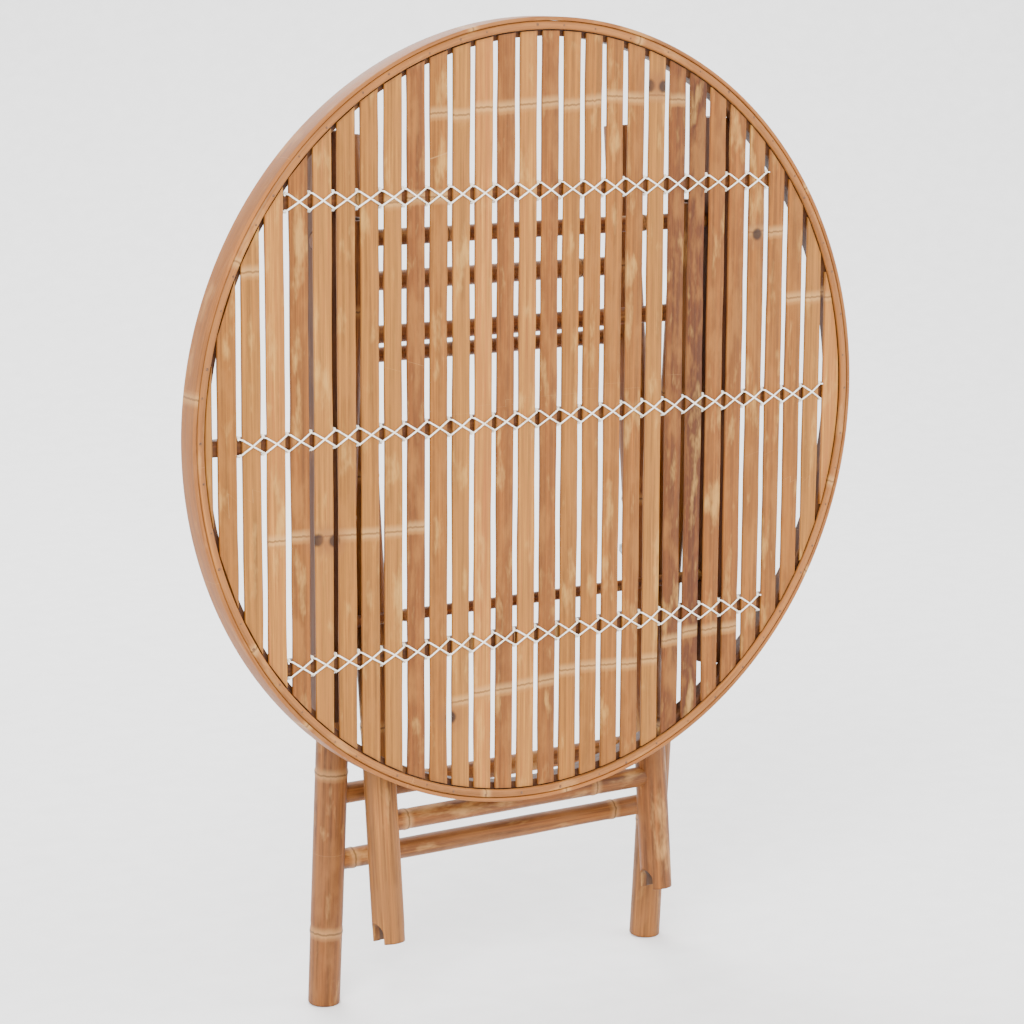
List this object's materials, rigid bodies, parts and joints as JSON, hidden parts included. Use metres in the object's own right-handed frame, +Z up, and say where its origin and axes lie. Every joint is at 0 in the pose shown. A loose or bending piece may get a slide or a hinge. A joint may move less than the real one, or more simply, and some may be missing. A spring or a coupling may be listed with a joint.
{
  "type": "folding tray table",
  "caption": "Round slatted bamboo table top with cord lashing, hinged on two crossing bamboo pole frames that fold flat behind it",
  "frame": {"origin": "centre of the outer frame's top rung, midway between its legs; this rung is the hinge axis of the top", "axes": "Z up and Y back as the folded table hangs, X along the rungs; the top's face looks to -Y"},
  "size_m": [0.7, 0.1211, 0.8883],
  "materials": {
    "bamboo_slat": "satin lacquered bamboo strip",
    "bamboo_hoop": "smooth bent bamboo strip",
    "bamboo_pole": "satin lacquered bamboo pole",
    "bamboo_backing": "plain split bamboo",
    "cord": "twisted white cord",
    "steel": "zinc plated"
  },
  "bodies": {
    "outer_frame": {"outer_leg_left": "bamboo_pole", "outer_leg_right": "bamboo_pole", "outer_rung_hinge": "bamboo_pole", "outer_rung_second": "bamboo_pole", "outer_rung_low": "bamboo_pole", "outer_rung_foot": "bamboo_pole", "pivot_bolt_left": "steel", "pivot_bolt_right": "steel", "pivot_nut_left": "steel", "pivot_nut_right": "steel"},
    "top": {"hoop_band": "bamboo_hoop", "hoop_lip": "bamboo_hoop", "support_ring": "bamboo_backing", "slat_01": "bamboo_slat", "slat_02": "bamboo_slat", "slat_03": "bamboo_slat", "slat_04": "bamboo_slat", "slat_05": "bamboo_slat", "slat_06": "bamboo_slat", "slat_07": "bamboo_slat", "slat_08": "bamboo_slat", "slat_09": "bamboo_slat", "slat_10": "bamboo_slat", "slat_11": "bamboo_slat", "slat_12": "bamboo_slat", "slat_13": "bamboo_slat", "slat_14": "bamboo_slat", "slat_15": "bamboo_slat", "slat_16": "bamboo_slat", "slat_17": "bamboo_slat", "slat_18": "bamboo_slat", "slat_19": "bamboo_slat", "slat_20": "bamboo_slat", "slat_21": "bamboo_slat", "slat_22": "bamboo_slat", "slat_23": "bamboo_slat", "slat_24": "bamboo_slat", "slat_25": "bamboo_slat", "slat_26": "bamboo_slat", "slat_27": "bamboo_slat", "slat_28": "bamboo_slat", "slat_29": "bamboo_slat", "slat_30": "bamboo_slat", "batten_upper": "bamboo_backing", "lashing_upper": "cord", "batten_middle": "bamboo_backing", "lashing_middle": "cord", "batten_lower": "bamboo_backing", "lashing_lower": "cord", "cleat_left": "bamboo_backing", "cleat_right": "bamboo_backing", "catch_bar": "bamboo_backing"},
    "inner_frame": {"inner_leg_left": "bamboo_pole", "inner_leg_right": "bamboo_pole", "inner_rung_head": "bamboo_pole", "inner_rung_low": "bamboo_pole", "inner_rung_foot": "bamboo_pole"}
  },
  "joints": [
    {"name": "top_hinge", "type": "hinge", "parent": "outer_frame", "child": "top", "pos_m": [0, 0, 0], "axis": [-1, 0, 0], "range_deg": [0, 52.1]},
    {"name": "frame_cross", "type": "hinge", "parent": "outer_frame", "child": "inner_frame", "pos_m": [0, 0.02199, -0.30671], "axis": [-1, 0, 0], "range_deg": [0, 99.6]}
  ],
  "couplings": [
    {"joint": "frame_cross", "follows": "top_hinge", "ratio": 1.9102}
  ]
}
